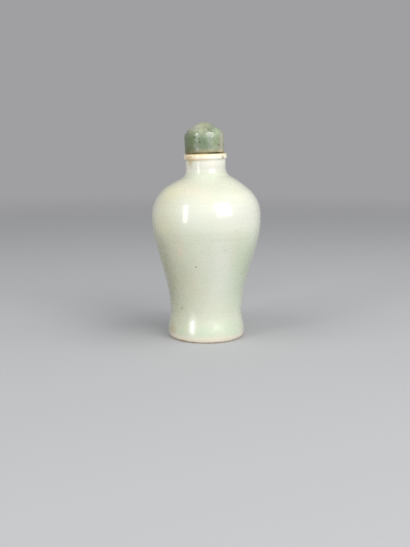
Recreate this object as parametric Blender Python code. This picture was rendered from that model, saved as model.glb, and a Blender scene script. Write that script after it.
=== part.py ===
"""Porcelain snuff bottle of plum-vase form, closed by a jade cap on a cork plug.

Metres, +Z up. The origin is the centre of the foot, on the surface that the bottle stands on.
The upper part leans a little to -X, as on the hand-thrown original, and the stopper leans with it.
"""
import math

import bmesh
import bpy
from mathutils import Vector

# Outside of the bottle, from the foot up: each rise starts where the one before it ends
STANDING_RADIUS = 0.0125
FOOT_RADIUS = 0.0138
FOOT_RISE = 0.0024
WAIST_RADIUS = 0.0128
WAIST_RISE = 0.0065
BELLY_RADIUS = 0.0192
BODY_RISE = 0.0331
SHOULDER_RISE = 0.0146
SHOULDER_TOP_RADIUS = 0.0083
SHOULDER_SLOPE = math.radians(30)
NECK_RADIUS = 0.0070
NECK_FILLET_RISE = 0.0025
NECK_RISE = 0.00275
LIP_RADIUS = 0.0075
LIP_FLARE_RISE = 0.0009
LIP_BAND_RISE = 0.0015
LIP_EDGE_RADIUS = 0.0003

# How far each curve runs on before it turns, as a share of its own rise
FOOT_FULLNESS = 0.34
WAIST_FULLNESS = 0.37
BODY_SWEEP = 0.37
BELLY_FULLNESS = 0.32
SHOULDER_FULLNESS = 0.59
SHOULDER_SWEEP = 0.50
FILLET_SWEEP = 0.50
LIP_SWEEP = 0.40

# Inside of the bottle
WALL = 0.0022
SHOULDER_WALL = 0.0025
THROAT_RISE = 0.0027
BORE_RADIUS = 0.0035
BORE_EDGE = 0.0003
FLOOR_THICKNESS = 0.0025
FLOOR_CORNER = 0.0030

# Underside
FOOT_RING_WIDTH = 0.0022
FOOT_RECESS_DEPTH = 0.0014
FOOT_RECESS_SLOPE = 0.0008

# Lean of the shoulder, neck and stopper
LEAN_ANGLE = math.radians(2.1)
LEAN_START_RISE = 0.0110
LEAN_STRETCH = 0.0035

# Jade cap; the offset is how far off the bore's axis it was cemented
CAP_OFFSET = -0.0002
CAP_BASE_RADIUS = 0.0068
CAP_RADIUS = 0.00695
CAP_DRUM_RISE = 0.00845
CAP_BASE_EDGE = 0.0004
CAP_SHOULDER_RISE = 0.0036
CAP_SHOULDER_WIDTH = 0.0022
CAP_LEDGE_WIDTH = 0.00025
CAP_DOME_RISE = 0.0021
CAP_DOME_SLOPE = math.radians(45)
CAP_DOME_FLANK = 0.0009
CAP_DOME_CROWN = 0.0011
CAP_DOME_FLAT = 0.0016
CAP_BASE_SWEEP = 0.30
CAP_WIDEST_SWEEP = 0.60
CAP_SHOULDER_FULLNESS = 0.66
CAP_SHOULDER_REACH = 0.62

# Cork plug
CORK_LENGTH = 0.0062
CORK_TAPER = 0.0003
CORK_EDGE = 0.0004

# Clearance between pieces that touch
SEAT_GAP = 0.0003

# Heights that follow from the rises
WAIST_Z = FOOT_RISE + WAIST_RISE
BELLY_Z = WAIST_Z + BODY_RISE
SHOULDER_Z = BELLY_Z + SHOULDER_RISE
NECK_Z = SHOULDER_Z + NECK_FILLET_RISE
LIP_Z = NECK_Z + NECK_RISE
BAND_Z = LIP_Z + LIP_FLARE_RISE
RIM_Z = BAND_Z + LIP_BAND_RISE
FLOOR_Z = FOOT_RECESS_DEPTH + FLOOR_THICKNESS
LEAN_Z = BELLY_Z + LEAN_START_RISE
CAP_SEAT_Z = RIM_Z + SEAT_GAP

# Facets: sides around each piece, and steps along each stretch of an outline
BOTTLE_SIDES = 48
CAP_SIDES = 36
CORK_SIDES = 32
FOOT_STEPS = 4
WAIST_STEPS = 5
BODY_STEPS = 9
SHOULDER_STEPS = 10
FILLET_STEPS = 4
INSIDE_BODY_STEPS = 7
INSIDE_SHOULDER_STEPS = 8
DOME_STEPS = 5
EDGE_STEPS = 3
SHARP_ANGLE = math.radians(35)
MERGE_DISTANCE = 1e-7


def clear_scene():
    """Remove every object that the file starts with."""
    for thing in list(bpy.data.objects):
        bpy.data.objects.remove(thing, do_unlink=True)


def make_material(name, colour, roughness):
    """A plain coloured, non-metallic material."""
    material = bpy.data.materials.new(name)
    material.use_nodes = True
    shader = material.node_tree.nodes["Principled BSDF"]
    shader.inputs["Base Color"].default_value = (*colour, 1.0)
    shader.inputs["Roughness"].default_value = roughness
    shader.inputs["Metallic"].default_value = 0.0
    material.diffuse_color = (*colour, 1.0)
    return material


def bezier(start, start_handle, end_handle, end, steps):
    """Points (radius, height) along one cubic curve, without its first point."""
    points = []
    for step in range(1, steps + 1):
        t = step / steps
        s = 1.0 - t
        weights = (s**3, 3 * s * s * t, 3 * s * t * t, t**3)
        corners = (start, start_handle, end_handle, end)
        points.append(tuple(sum(w * c[k] for w, c in zip(weights, corners)) for k in (0, 1)))
    return points


def upright(start, end, start_share, end_share, steps):
    """A curve that leaves start and reaches end vertically; the shares are of its own rise."""
    rise = end[1] - start[1]
    start_handle = (start[0], start[1] + start_share * rise)
    end_handle = (end[0], end[1] - end_share * rise)
    return bezier(start, start_handle, end_handle, end, steps)


def along_slope(point, distance):
    """A point moved up and inwards along the slope of the shoulder's top."""
    inwards = distance * math.cos(SHOULDER_SLOPE)
    upwards = distance * math.sin(SHOULDER_SLOPE)
    return (point[0] - inwards, point[1] + upwards)


def shoulder_curve(belly, top, neck, belly_steps, neck_steps):
    """From the belly up over the shoulder to its sloping top, and on into the upright neck."""
    rise = top[1] - belly[1]
    above_belly = (belly[0], belly[1] + SHOULDER_FULLNESS * rise)
    below_top = along_slope(top, -SHOULDER_SWEEP * rise)
    above_top = along_slope(top, FILLET_SWEEP * (neck[1] - top[1]))
    points = bezier(belly, above_belly, below_top, top, belly_steps)
    return points + bezier(top, above_top, neck, neck, neck_steps)


def arc(centre, radius, from_angle, to_angle, steps):
    """Points along a circular arc, both ends included; angle 0 points away from the axis."""
    points = []
    for step in range(steps + 1):
        angle = from_angle + (to_angle - from_angle) * step / steps
        points.append((centre[0] + radius * math.cos(angle), centre[1] + radius * math.sin(angle)))
    return points


def bottle_underside():
    """From the middle of the foot recess out to the edge that the bottle stands on."""
    ring_inside = (STANDING_RADIUS - FOOT_RING_WIDTH, 0.0)
    recess_corner = (ring_inside[0], FOOT_RECESS_DEPTH)
    recess_edge = (ring_inside[0] - FOOT_RECESS_SLOPE, FOOT_RECESS_DEPTH)
    points = [(0.0, FOOT_RECESS_DEPTH), recess_edge]
    points += bezier(recess_edge, recess_corner, recess_corner, ring_inside, EDGE_STEPS)
    return points + [(STANDING_RADIUS, 0.0)]


def bottle_outside():
    """From the standing edge up the outside to the rounded edge of the rim."""
    edge = (STANDING_RADIUS, 0.0)
    foot = (FOOT_RADIUS, FOOT_RISE)
    waist = (WAIST_RADIUS, WAIST_Z)
    belly = (BELLY_RADIUS, BELLY_Z)
    neck = (NECK_RADIUS, NECK_Z)
    lip = (NECK_RADIUS, LIP_Z)
    band = (LIP_RADIUS, BAND_Z)
    shoulder_top = (SHOULDER_TOP_RADIUS, SHOULDER_Z)
    under_edge = ((STANDING_RADIUS + FOOT_RADIUS) / 2, 0.0)
    points = bezier(edge, under_edge, (FOOT_RADIUS, FOOT_RISE / 3), foot, FOOT_STEPS)
    points += upright(foot, waist, FOOT_FULLNESS, WAIST_FULLNESS, WAIST_STEPS)
    points += upright(waist, belly, BODY_SWEEP, BELLY_FULLNESS, BODY_STEPS)
    points += shoulder_curve(belly, shoulder_top, neck, SHOULDER_STEPS, FILLET_STEPS)
    points += [lip]
    points += upright(lip, band, LIP_SWEEP, LIP_SWEEP, EDGE_STEPS)
    rim_corner = (LIP_RADIUS - LIP_EDGE_RADIUS, RIM_Z - LIP_EDGE_RADIUS)
    points += arc(rim_corner, LIP_EDGE_RADIUS, 0.0, math.pi / 2, EDGE_STEPS)
    return points


def bottle_inside():
    """From the edge of the mouth down the bore and the hollow to the middle of the floor."""
    bore_top = (BORE_RADIUS, RIM_Z - BORE_EDGE)
    shoulder_top = (
        SHOULDER_TOP_RADIUS - SHOULDER_WALL * math.sin(SHOULDER_SLOPE),
        SHOULDER_Z - SHOULDER_WALL * math.cos(SHOULDER_SLOPE),
    )
    throat = (BORE_RADIUS, shoulder_top[1] + THROAT_RISE)
    belly = (BELLY_RADIUS - WALL, BELLY_Z)
    low_wall = (WAIST_RADIUS - WALL, FLOOR_Z + FLOOR_CORNER)
    corner = (low_wall[0] - FLOOR_CORNER, low_wall[1])
    shoulder = shoulder_curve(belly, shoulder_top, throat, INSIDE_SHOULDER_STEPS, EDGE_STEPS)
    points = [(BORE_RADIUS + BORE_EDGE, RIM_Z), bore_top]
    points += reversed(shoulder)
    points += [belly]
    points += upright(belly, low_wall, BELLY_FULLNESS, BODY_SWEEP, INSIDE_BODY_STEPS)
    points += arc(corner, FLOOR_CORNER, 0.0, -math.pi / 2, EDGE_STEPS)[1:]
    points += [(0.0, FLOOR_Z)]
    return points


def cap_outline():
    """From the middle of the flat underside, up the drum and over the dome to its top."""
    drum_top = CAP_SEAT_Z + CAP_DRUM_RISE
    base_corner = (CAP_BASE_RADIUS - CAP_BASE_EDGE, CAP_SEAT_Z + CAP_BASE_EDGE)
    widest = (CAP_RADIUS, drum_top - CAP_SHOULDER_RISE)
    shoulder_side = (CAP_RADIUS, widest[1] + CAP_SHOULDER_FULLNESS * CAP_SHOULDER_RISE)
    shoulder_end = (CAP_RADIUS - CAP_SHOULDER_WIDTH, drum_top)
    shoulder_top = (shoulder_end[0] + (1 - CAP_SHOULDER_REACH) * CAP_SHOULDER_WIDTH, drum_top)
    uphill = (-math.cos(CAP_DOME_SLOPE), math.sin(CAP_DOME_SLOPE))
    dome_edge = (shoulder_end[0] - CAP_LEDGE_WIDTH, drum_top)
    dome_wall = tuple(dome_edge[i] + CAP_DOME_FLANK * uphill[i] for i in range(2))
    crown_side = tuple(dome_wall[i] + CAP_DOME_CROWN * uphill[i] for i in range(2))
    top = (0.0, drum_top + CAP_DOME_RISE)
    points = [(0.0, CAP_SEAT_Z)]
    points += arc(base_corner, CAP_BASE_EDGE, -math.pi / 2, 0.0, EDGE_STEPS)
    points += upright(points[-1], widest, CAP_BASE_SWEEP, CAP_WIDEST_SWEEP, EDGE_STEPS)
    points += bezier(widest, shoulder_side, shoulder_top, shoulder_end, DOME_STEPS)
    points += bezier(shoulder_end, dome_edge, dome_edge, dome_wall, EDGE_STEPS)
    points += bezier(dome_wall, crown_side, (CAP_DOME_FLAT, top[1]), top, DOME_STEPS)
    return points


def cork_outline():
    """From the middle of the plug's lower end out and up to the middle of its top."""
    top_z = CAP_SEAT_Z - SEAT_GAP
    low_z = top_z - CORK_LENGTH
    top_radius = BORE_RADIUS - SEAT_GAP
    low_radius = top_radius - CORK_TAPER
    return [
        (0.0, low_z),
        (low_radius - CORK_EDGE, low_z),
        (low_radius, low_z + CORK_EDGE),
        (top_radius, top_z),
        (0.0, top_z),
    ]


def lean(point):
    """Bend a point with the bottle's upper part: straight, then a short bend, then straight."""
    reach = min(max(point.z - LEAN_Z, 0.0), LEAN_STRETCH)
    if reach == 0.0:
        return point
    angle = LEAN_ANGLE * reach / LEAN_STRETCH
    bend_radius = LEAN_STRETCH / LEAN_ANGLE
    beyond = point.z - LEAN_Z - reach
    across = -bend_radius * (1.0 - math.cos(angle)) - beyond * math.sin(angle)
    along = bend_radius * math.sin(angle) + beyond * math.cos(angle)
    return Vector((
        across + point.x * math.cos(angle),
        point.y,
        LEAN_Z + along + point.x * math.sin(angle),
    ))


def lathe(name, outline, sides, material, offset=0.0):
    """Turn an outline that starts and ends on the axis into one closed, leaning object.

    The offset moves the object along X before it leans.
    """
    turned = bmesh.new()
    verts = [turned.verts.new((radius, 0.0, height)) for radius, height in outline]
    edges = [turned.edges.new(pair) for pair in zip(verts, verts[1:])]
    bmesh.ops.spin(
        turned,
        geom=verts + edges,
        cent=(0.0, 0.0, 0.0),
        axis=(0.0, 0.0, 1.0),
        angle=2.0 * math.pi,
        steps=sides,
    )
    bmesh.ops.remove_doubles(turned, verts=turned.verts, dist=MERGE_DISTANCE)
    bmesh.ops.recalc_face_normals(turned, faces=turned.faces)
    for vert in turned.verts:
        vert.co = lean(vert.co + Vector((offset, 0.0, 0.0)))
    mesh = bpy.data.meshes.new(name)
    turned.to_mesh(mesh)
    turned.free()
    mesh.materials.append(material)
    mesh.shade_smooth()
    mesh.set_sharp_from_angle(angle=SHARP_ANGLE)
    piece = bpy.data.objects.new(name, mesh)
    bpy.context.scene.collection.objects.link(piece)
    return piece


def main():
    """Build the bottle and its stopper."""
    clear_scene()
    celadon = make_material("celadon_glaze", (0.58, 0.64, 0.53), 0.12)
    jade = make_material("jade", (0.17, 0.26, 0.13), 0.2)
    cork = make_material("cork", (0.30, 0.18, 0.09), 0.85)
    bottle_outline = bottle_underside() + bottle_outside() + bottle_inside()
    lathe("bottle", bottle_outline, BOTTLE_SIDES, celadon)
    lathe("stopper_cap", cap_outline(), CAP_SIDES, jade, CAP_OFFSET)
    lathe("stopper_cork", cork_outline(), CORK_SIDES, cork)


main()
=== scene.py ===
# Looks of a porcelain snuff bottle in pale celadon glaze, closed by a mottled jade cap on a cork.
# Metres, in the frame of the solids. One node tree turns every piece from its outline; shared effects
# of the finishes are shader groups, and marks on the surfaces are placed through the camera's view.

import math

import bmesh
import bpy
from mathutils import Matrix, Quaternion, Vector
from mathutils.bvhtree import BVHTree


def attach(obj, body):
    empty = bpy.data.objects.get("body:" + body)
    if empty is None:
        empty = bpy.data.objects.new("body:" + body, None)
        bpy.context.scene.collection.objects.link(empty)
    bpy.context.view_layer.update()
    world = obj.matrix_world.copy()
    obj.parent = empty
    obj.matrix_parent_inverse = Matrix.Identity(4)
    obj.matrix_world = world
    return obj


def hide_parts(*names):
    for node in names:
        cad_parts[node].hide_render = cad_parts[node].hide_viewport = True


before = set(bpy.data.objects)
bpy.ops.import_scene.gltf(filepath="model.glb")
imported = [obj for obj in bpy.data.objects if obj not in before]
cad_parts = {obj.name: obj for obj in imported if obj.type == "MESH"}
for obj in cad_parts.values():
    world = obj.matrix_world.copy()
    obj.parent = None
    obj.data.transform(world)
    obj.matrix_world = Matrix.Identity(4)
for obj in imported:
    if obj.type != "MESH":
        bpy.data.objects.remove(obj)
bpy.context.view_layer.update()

# The photograph's frame and the camera that fits it
IMAGE_WIDTH = 410
IMAGE_HEIGHT = 547
FOCAL_PIXELS = 711.585
SENSOR = 36.0
CAMERA_PITCH = math.radians(10.08)
CAMERA_PLACE = Vector((-0.00046, -0.249697, 0.066547))

# Outside of the bottle, from the foot up: each rise starts where the one before it ends
STANDING_RADIUS = 0.0125
FOOT_RADIUS = 0.0138
FOOT_RISE = 0.0024
WAIST_RADIUS = 0.0128
WAIST_RISE = 0.0065
BELLY_RADIUS = 0.0192
BODY_RISE = 0.0331
SHOULDER_RISE = 0.0146
SHOULDER_TOP_RADIUS = 0.0083
SHOULDER_SLOPE = math.radians(30)
NECK_RADIUS = 0.0070
NECK_FILLET_RISE = 0.0025
NECK_RISE = 0.00275
LIP_RADIUS = 0.0075
LIP_FLARE_RISE = 0.0009
LIP_BAND_RISE = 0.0015
LIP_EDGE_RADIUS = 0.0003

# How far each curve runs on before it turns, as a share of its own rise
FOOT_FULLNESS = 0.34
WAIST_FULLNESS = 0.37
BODY_SWEEP = 0.37
BELLY_FULLNESS = 0.32
SHOULDER_FULLNESS = 0.59
SHOULDER_SWEEP = 0.50
FILLET_SWEEP = 0.50
LIP_SWEEP = 0.40

# Inside and underside of the bottle
WALL = 0.0022
SHOULDER_WALL = 0.0025
THROAT_RISE = 0.0027
BORE_RADIUS = 0.0035
BORE_EDGE = 0.0003
FLOOR_THICKNESS = 0.0025
FLOOR_CORNER = 0.0030
FOOT_RING_WIDTH = 0.0022
FOOT_RECESS_DEPTH = 0.0014
FOOT_RECESS_SLOPE = 0.0008

# Lean of the shoulder, neck and stopper
LEAN_ANGLE = math.radians(2.1)
LEAN_START_RISE = 0.0110
LEAN_STRETCH = 0.0035

# Jade cap
CAP_OFFSET = -0.0002
CAP_BASE_RADIUS = 0.0068
CAP_RADIUS = 0.00695
CAP_DRUM_RISE = 0.00845
CAP_BASE_EDGE = 0.0004
CAP_SHOULDER_RISE = 0.0036
CAP_SHOULDER_WIDTH = 0.0022
CAP_LEDGE_WIDTH = 0.00025
CAP_DOME_RISE = 0.0021
CAP_DOME_SLOPE = math.radians(45)
CAP_DOME_FLANK = 0.0009
CAP_DOME_CROWN = 0.0011
CAP_DOME_FLAT = 0.0016
CAP_BASE_SWEEP = 0.30
CAP_WIDEST_SWEEP = 0.60
CAP_SHOULDER_FULLNESS = 0.66
CAP_SHOULDER_REACH = 0.62

# Cork plug, with the skin of old cement that it leaves in the seam under the cap
CORK_LENGTH = 0.0062
CORK_TAPER = 0.0003
CORK_EDGE = 0.0004
SEAT_GAP = 0.0003
CEMENT_RADIUS = 0.0067
CEMENT_THICKNESS = 0.00022

# Heights that follow from the rises
WAIST_Z = FOOT_RISE + WAIST_RISE
BELLY_Z = WAIST_Z + BODY_RISE
SHOULDER_Z = BELLY_Z + SHOULDER_RISE
NECK_Z = SHOULDER_Z + NECK_FILLET_RISE
LIP_Z = NECK_Z + NECK_RISE
BAND_Z = LIP_Z + LIP_FLARE_RISE
RIM_Z = BAND_Z + LIP_BAND_RISE
FLOOR_Z = FOOT_RECESS_DEPTH + FLOOR_THICKNESS
LEAN_Z = BELLY_Z + LEAN_START_RISE
CAP_SEAT_Z = RIM_Z + SEAT_GAP

# Sides around each piece, and how near two points are where the seam and the poles are closed
BOTTLE_SIDES = 320
CAP_SIDES = 224
CORK_SIDES = 96
MERGE_DISTANCE = 0.000002


def srgb(red, green, blue):
    """A colour given in the photograph's own 0 to 255 scale, as the linear values that nodes use."""
    channels = []
    for value in (red, green, blue):
        share = value / 255.0
        channels.append(share / 12.92 if share <= 0.04045 else ((share + 0.055) / 1.055) ** 2.4)
    return (*channels, 1.0)


# Outlines

def bezier(start, start_handle, end_handle, end, steps):
    """Points (radius, height) along one cubic curve, without its first point."""
    points = []
    for step in range(1, steps + 1):
        t = step / steps
        s = 1.0 - t
        weights = (s**3, 3 * s * s * t, 3 * s * t * t, t**3)
        corners = (start, start_handle, end_handle, end)
        points.append(tuple(sum(w * c[k] for w, c in zip(weights, corners)) for k in (0, 1)))
    return points


def straight(start, end, steps):
    """Evenly spaced points along a line, without its first point."""
    return [tuple(a + (b - a) * step / steps for a, b in zip(start, end)) for step in range(1, steps + 1)]


def upright(start, end, start_share, end_share, steps):
    """A curve that leaves start and reaches end vertically; the shares are of its own rise."""
    rise = end[1] - start[1]
    start_handle = (start[0], start[1] + start_share * rise)
    end_handle = (end[0], end[1] - end_share * rise)
    return bezier(start, start_handle, end_handle, end, steps)


def along_slope(point, distance):
    """A point moved up and inwards along the slope of the shoulder's top."""
    inwards = distance * math.cos(SHOULDER_SLOPE)
    upwards = distance * math.sin(SHOULDER_SLOPE)
    return (point[0] - inwards, point[1] + upwards)


def shoulder_curve(belly, top, neck, belly_steps, neck_steps):
    """From the belly up over the shoulder to its sloping top, and on into the upright neck."""
    rise = top[1] - belly[1]
    above_belly = (belly[0], belly[1] + SHOULDER_FULLNESS * rise)
    below_top = along_slope(top, -SHOULDER_SWEEP * rise)
    above_top = along_slope(top, FILLET_SWEEP * (neck[1] - top[1]))
    points = bezier(belly, above_belly, below_top, top, belly_steps)
    return points + bezier(top, above_top, neck, neck, neck_steps)


def arc(centre, radius, from_angle, to_angle, steps):
    """Points along a circular arc, without its first point; angle 0 points away from the axis."""
    points = []
    for step in range(1, steps + 1):
        angle = from_angle + (to_angle - from_angle) * step / steps
        points.append((centre[0] + radius * math.cos(angle), centre[1] + radius * math.sin(angle)))
    return points


def bottle_underside():
    """From the middle of the foot recess out to the edge that the bottle stands on."""
    ring_inside = (STANDING_RADIUS - FOOT_RING_WIDTH, 0.0)
    recess_corner = (ring_inside[0], FOOT_RECESS_DEPTH)
    recess_edge = (ring_inside[0] - FOOT_RECESS_SLOPE, FOOT_RECESS_DEPTH)
    points = [(0.0, FOOT_RECESS_DEPTH)]
    points += straight(points[-1], recess_edge, steps=6)
    points += bezier(recess_edge, recess_corner, recess_corner, ring_inside, steps=6)
    return points + straight(ring_inside, (STANDING_RADIUS, 0.0), steps=4)


def bottle_outside():
    """From the standing edge up the outside to the rounded edge of the rim."""
    edge = (STANDING_RADIUS, 0.0)
    foot = (FOOT_RADIUS, FOOT_RISE)
    waist = (WAIST_RADIUS, WAIST_Z)
    belly = (BELLY_RADIUS, BELLY_Z)
    neck = (NECK_RADIUS, NECK_Z)
    lip = (NECK_RADIUS, LIP_Z)
    band = (LIP_RADIUS, BAND_Z)
    shoulder_top = (SHOULDER_TOP_RADIUS, SHOULDER_Z)
    under_edge = ((STANDING_RADIUS + FOOT_RADIUS) / 2, 0.0)
    rim_corner = (LIP_RADIUS - LIP_EDGE_RADIUS, RIM_Z - LIP_EDGE_RADIUS)
    points = bezier(edge, under_edge, (FOOT_RADIUS, FOOT_RISE / 3), foot, steps=14)
    points += upright(foot, waist, FOOT_FULLNESS, WAIST_FULLNESS, steps=20)
    points += upright(waist, belly, BODY_SWEEP, BELLY_FULLNESS, steps=72)
    points += shoulder_curve(belly, shoulder_top, neck, belly_steps=48, neck_steps=12)
    points += straight(neck, lip, steps=7)
    points += upright(lip, band, LIP_SWEEP, LIP_SWEEP, steps=6)
    points += straight(band, (LIP_RADIUS, rim_corner[1]), steps=4)
    return points + arc(rim_corner, LIP_EDGE_RADIUS, 0.0, math.pi / 2, steps=5)


def bottle_inside():
    """From the edge of the mouth down the bore and the hollow to the middle of the floor."""
    mouth = (BORE_RADIUS + BORE_EDGE, RIM_Z)
    bore_top = (BORE_RADIUS, RIM_Z - BORE_EDGE)
    shoulder_top = (
        SHOULDER_TOP_RADIUS - SHOULDER_WALL * math.sin(SHOULDER_SLOPE),
        SHOULDER_Z - SHOULDER_WALL * math.cos(SHOULDER_SLOPE),
    )
    throat = (BORE_RADIUS, shoulder_top[1] + THROAT_RISE)
    belly = (BELLY_RADIUS - WALL, BELLY_Z)
    low_wall = (WAIST_RADIUS - WALL, FLOOR_Z + FLOOR_CORNER)
    corner = (low_wall[0] - FLOOR_CORNER, low_wall[1])
    shoulder = shoulder_curve(belly, shoulder_top, throat, belly_steps=14, neck_steps=6)
    points = straight((LIP_RADIUS - LIP_EDGE_RADIUS, RIM_Z), mouth, steps=6)
    points += straight(mouth, bore_top, steps=2)
    points += reversed(shoulder)
    points += [belly]
    points += upright(belly, low_wall, BELLY_FULLNESS, BODY_SWEEP, steps=18)
    points += arc(corner, FLOOR_CORNER, 0.0, -math.pi / 2, steps=5)
    return points + straight(points[-1], (0.0, FLOOR_Z), steps=3)


def cap_outline():
    """From the middle of the flat underside, up the drum and over the dome to its top."""
    drum_top = CAP_SEAT_Z + CAP_DRUM_RISE
    base_corner = (CAP_BASE_RADIUS - CAP_BASE_EDGE, CAP_SEAT_Z + CAP_BASE_EDGE)
    widest = (CAP_RADIUS, drum_top - CAP_SHOULDER_RISE)
    shoulder_side = (CAP_RADIUS, widest[1] + CAP_SHOULDER_FULLNESS * CAP_SHOULDER_RISE)
    shoulder_end = (CAP_RADIUS - CAP_SHOULDER_WIDTH, drum_top)
    shoulder_top = (shoulder_end[0] + (1 - CAP_SHOULDER_REACH) * CAP_SHOULDER_WIDTH, drum_top)
    uphill = (-math.cos(CAP_DOME_SLOPE), math.sin(CAP_DOME_SLOPE))
    dome_edge = (shoulder_end[0] - CAP_LEDGE_WIDTH, drum_top)
    dome_wall = tuple(dome_edge[i] + CAP_DOME_FLANK * uphill[i] for i in range(2))
    crown_side = tuple(dome_wall[i] + CAP_DOME_CROWN * uphill[i] for i in range(2))
    top = (0.0, drum_top + CAP_DOME_RISE)
    points = [(0.0, CAP_SEAT_Z)]
    points += straight(points[-1], (base_corner[0], CAP_SEAT_Z), steps=6)
    points += arc(base_corner, CAP_BASE_EDGE, -math.pi / 2, 0.0, steps=6)
    points += upright(points[-1], widest, CAP_BASE_SWEEP, CAP_WIDEST_SWEEP, steps=26)
    points += bezier(widest, shoulder_side, shoulder_top, shoulder_end, steps=26)
    points += bezier(shoulder_end, dome_edge, dome_edge, dome_wall, steps=12)
    return points + bezier(dome_wall, crown_side, (CAP_DOME_FLAT, top[1]), top, steps=24)


def cork_outline():
    """From the middle of the plug's lower end out and up, and over the skin of cement on its top."""
    top_z = CAP_SEAT_Z - SEAT_GAP
    low_z = top_z - CORK_LENGTH
    top_radius = BORE_RADIUS - SEAT_GAP
    low_radius = top_radius - CORK_TAPER
    cement_low = top_z + (SEAT_GAP - CEMENT_THICKNESS) / 2
    cement_top = cement_low + CEMENT_THICKNESS
    points = [(0.0, low_z)]
    points += straight(points[-1], (low_radius - CORK_EDGE, low_z), steps=6)
    points += straight(points[-1], (low_radius, low_z + CORK_EDGE), steps=3)
    points += straight(points[-1], (top_radius, top_z), steps=24)
    points += straight(points[-1], (top_radius, cement_low), steps=2)
    points += straight(points[-1], (CEMENT_RADIUS, cement_low), steps=8)
    points += straight(points[-1], (CEMENT_RADIUS, cement_top), steps=3)
    return points + straight(points[-1], (0.0, cement_top), steps=8)


# Nodes

def put(tree, socket, value):
    """Link a socket to another node's output, or give it a plain value."""
    if isinstance(value, bpy.types.NodeSocket):
        tree.links.new(value, socket)
    else:
        socket.default_value = value


def add(tree, kind, inputs=None, **settings):
    """Add a node with its settings, and its inputs by name, number or identifier."""
    made = tree.nodes.new(kind)
    for name, value in settings.items():
        setattr(made, name, value)
    by_identifier = {socket.identifier: socket for socket in made.inputs}
    for key, value in (inputs or {}).items():
        put(tree, by_identifier[key] if key in by_identifier else made.inputs[key], value)
    return made


def maths(tree, operation, *values):
    """A Math node on one to three values."""
    return add(tree, "ShaderNodeMath", dict(enumerate(values)), operation=operation).outputs[0]


def vector_maths(tree, operation, *values):
    """A Vector Math node whose result is a vector."""
    return add(tree, "ShaderNodeVectorMath", dict(enumerate(values)), operation=operation).outputs[0]


def scaled(tree, vector, factor):
    """A vector times a number."""
    return add(tree, "ShaderNodeVectorMath", {0: vector, "Scale": factor}, operation="SCALE").outputs[0]


def ease(tree, value, low, high, from_low=0.0, to_high=1.0):
    """A value eased from one result at low to another at high, and held beyond them."""
    inputs = {"Value": value, "From Min": low, "From Max": high, "To Min": from_low, "To Max": to_high}
    return add(tree, "ShaderNodeMapRange", inputs, interpolation_type="SMOOTHSTEP").outputs[0]


def noise(tree, place, detail, seed=None):
    """Soft noise at a place, as a value and as a colour; a seed gives another pattern."""
    inputs = {"Vector": place, "Scale": 1.0, "Detail": detail}
    if seed is None:
        return add(tree, "ShaderNodeTexNoise", inputs, noise_dimensions="3D").outputs
    return add(tree, "ShaderNodeTexNoise", {**inputs, "W": seed}, noise_dimensions="4D").outputs


def new_tree(name, kind, inputs, outputs):
    """A node group with named inputs and outputs, each (name, kind of socket, default value)."""
    tree = bpy.data.node_groups.new(name, kind)
    for in_out, rows in (("INPUT", inputs), ("OUTPUT", outputs)):
        for label, socket_kind, value in rows:
            socket = tree.interface.new_socket(label, in_out=in_out, socket_type="NodeSocket" + socket_kind)
            if value is not None:
                socket.default_value = value
    return tree, tree.nodes.new("NodeGroupInput").outputs, tree.nodes.new("NodeGroupOutput")


# The turned form: one tree that every piece is made with

TURNED_INPUTS = [
    ("Outline", "Geometry", None),
    ("Sides", "Int", 64),
    ("Side Offset", "Float", 0.0),
    ("Lean Angle", "Float", LEAN_ANGLE),
    ("Lean Start", "Float", LEAN_Z),
    ("Lean Stretch", "Float", LEAN_STRETCH),
    ("Ridge Depth", "Float", 0.0),
    ("Ridge Spacing", "Float", 0.001),
    ("Ridge Drift", "Float", 0.02),
    ("Lump Depth", "Float", 0.0),
    ("Lump Size", "Float", 0.01),
    ("Lump Bias", "Float", 0.0),
    ("Level Base", "Float", 0.0),
    ("Level Rise", "Float", 0.0015),
    ("Seed", "Float", 0.0),
    ("Material", "Material", None),
]


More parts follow.
